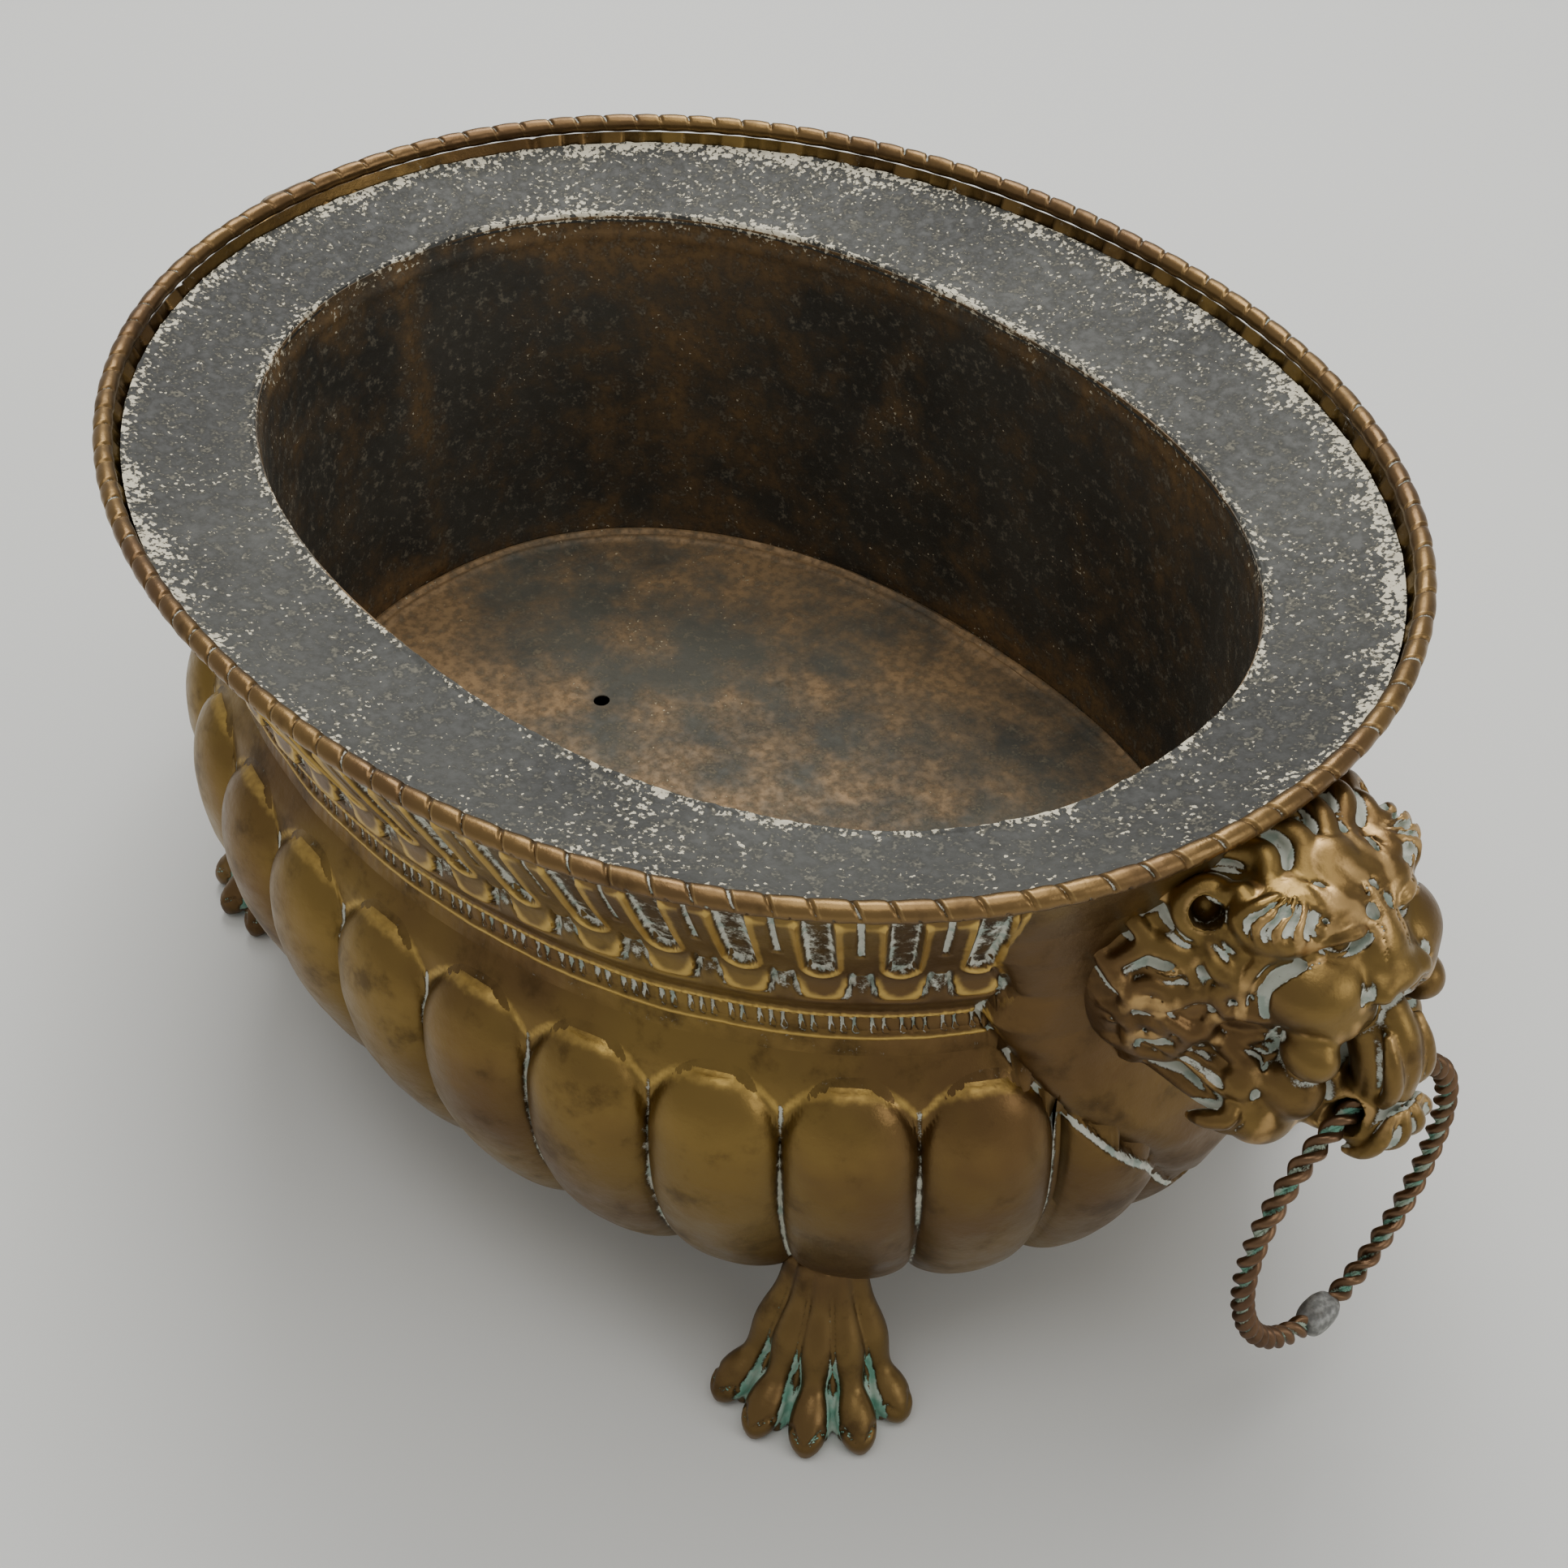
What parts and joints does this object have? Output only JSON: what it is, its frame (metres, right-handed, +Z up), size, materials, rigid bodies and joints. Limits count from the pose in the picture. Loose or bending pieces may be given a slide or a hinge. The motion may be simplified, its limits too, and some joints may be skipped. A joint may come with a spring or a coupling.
{
  "type": "oval footed planter",
  "caption": "Oval embossed brass planter on paw feet, with lion masks, swinging twisted ring handles and a lift-out zinc liner.",
  "frame": {"origin": "on the floor under the middle of the oval", "axes": "+X along the long axis towards the right lion mask, -Y towards the front, +Z up"},
  "size_m": [0.549, 0.353, 0.2372],
  "materials": {
    "aged_brass": "pressed sheet brass, satin, browned with age, yellow where rubbed, pale residue in the valleys",
    "cast_brass": "cast brass, polished by handling on the high points, dark brown and pale green in the recesses",
    "ring_brass": "twisted brass wire, dark brown, pale green in the twist",
    "zinc": "weathered zinc sheet, dull dark grey with pale lime crust and brown soil stain",
    "solder": "dull grey soft solder",
    "steel": "plain steel"
  },
  "bodies": {
    "pot": {"front_panel": "aged_brass", "rear_panel": "aged_brass", "right_end_panel": "aged_brass", "left_end_panel": "aged_brass", "base_plate": "aged_brass", "rim_bead": "aged_brass", "rim_wire": "steel", "right_lion_mask": "cast_brass", "left_lion_mask": "cast_brass", "right_mask_nuts": "steel", "left_mask_nuts": "steel", "paw_front_right": "cast_brass", "paw_front_left": "cast_brass", "paw_rear_right": "cast_brass", "paw_rear_left": "cast_brass"},
    "liner": {"liner_wall": "zinc", "liner_bottom": "zinc", "liner_flange": "zinc"},
    "right_ring": {"right_ring": "ring_brass", "right_ring_joint": "solder"},
    "left_ring": {"left_ring": "ring_brass", "left_ring_joint": "solder"}
  },
  "joints": [
    {"name": "right_ring_swing", "type": "hinge", "parent": "pot", "child": "right_ring", "pos_m": [0.2596, 0, 0.154], "axis": [0, -1, 0], "range_deg": [-20, 100]},
    {"name": "left_ring_swing", "type": "hinge", "parent": "pot", "child": "left_ring", "pos_m": [-0.2596, 0, 0.154], "axis": [0, 1, 0], "range_deg": [-20, 100]},
    {"name": "liner_lift", "type": "slide", "parent": "pot", "child": "liner", "axis": [0, 0, 1], "range_m": [0, 0.18]}
  ]
}
